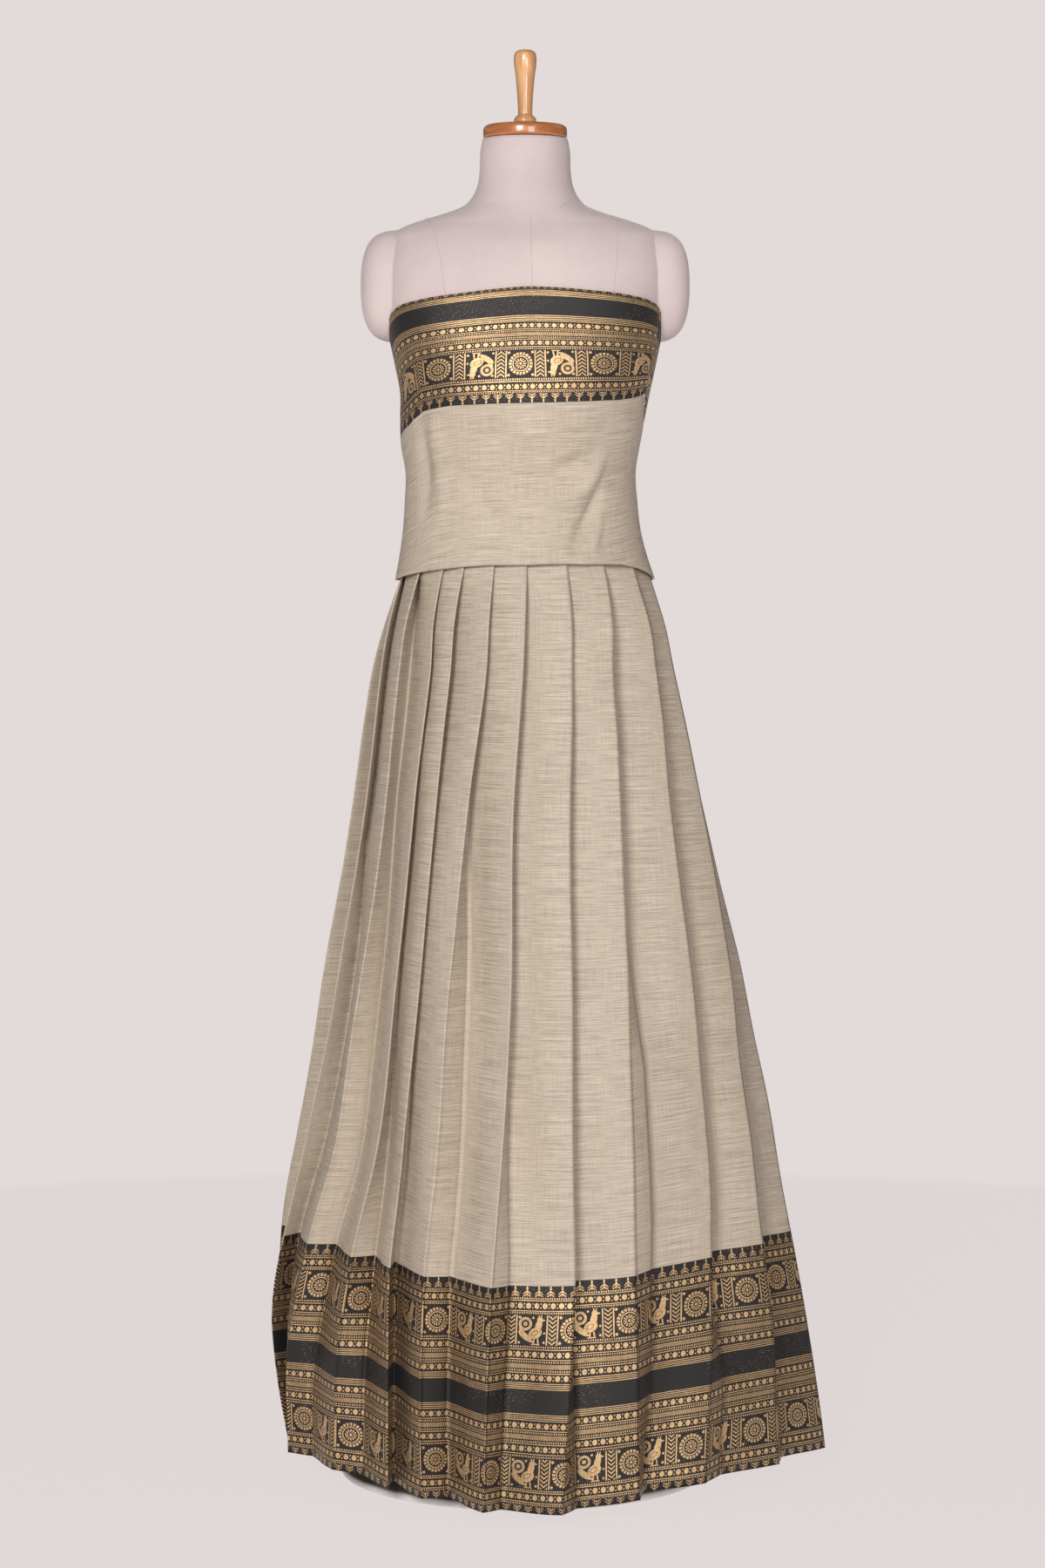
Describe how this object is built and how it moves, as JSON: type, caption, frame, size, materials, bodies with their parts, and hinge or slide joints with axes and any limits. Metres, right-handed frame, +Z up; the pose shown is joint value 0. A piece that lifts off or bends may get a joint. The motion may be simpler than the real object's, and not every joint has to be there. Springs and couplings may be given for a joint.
{
  "type": "half saree on a dress form",
  "caption": "Knife-pleated skirt length and wrapped bodice cloth with a woven border, pinned on a limbless padded form with a turned wooden cap and a round stand plate.",
  "frame": {"origin": "on the floor, under the middle of the stand plate and on the axis of the pole and the form", "axes": "+Z up, the front of the dress faces -Y, the wearer's left is +X"},
  "size_m": [0.6283, 0.5771, 1.629],
  "materials": {
    "zari_cloth": "slub silk-cotton in warm beige with a soft lustre and a wide black and gold woven border",
    "form_cloth": "matt close-woven cover in pale pink",
    "turned_wood": "polished, warm orange brown",
    "pin_steel": "bright nickelled wire",
    "stand_steel": "plain steel tube",
    "white_paint": "smooth white paint"
  },
  "bodies": {
    "root": {"skirt": "zari_cloth", "bodice_wrap": "zari_cloth", "side_pin": "pin_steel", "form_torso": "form_cloth", "form_arm_cap_right": "form_cloth", "form_arm_cap_left": "form_cloth", "neck_cap": "turned_wood", "finial": "turned_wood", "stand_pole": "stand_steel", "stand_base": "white_paint"}
  },
  "joints": []
}
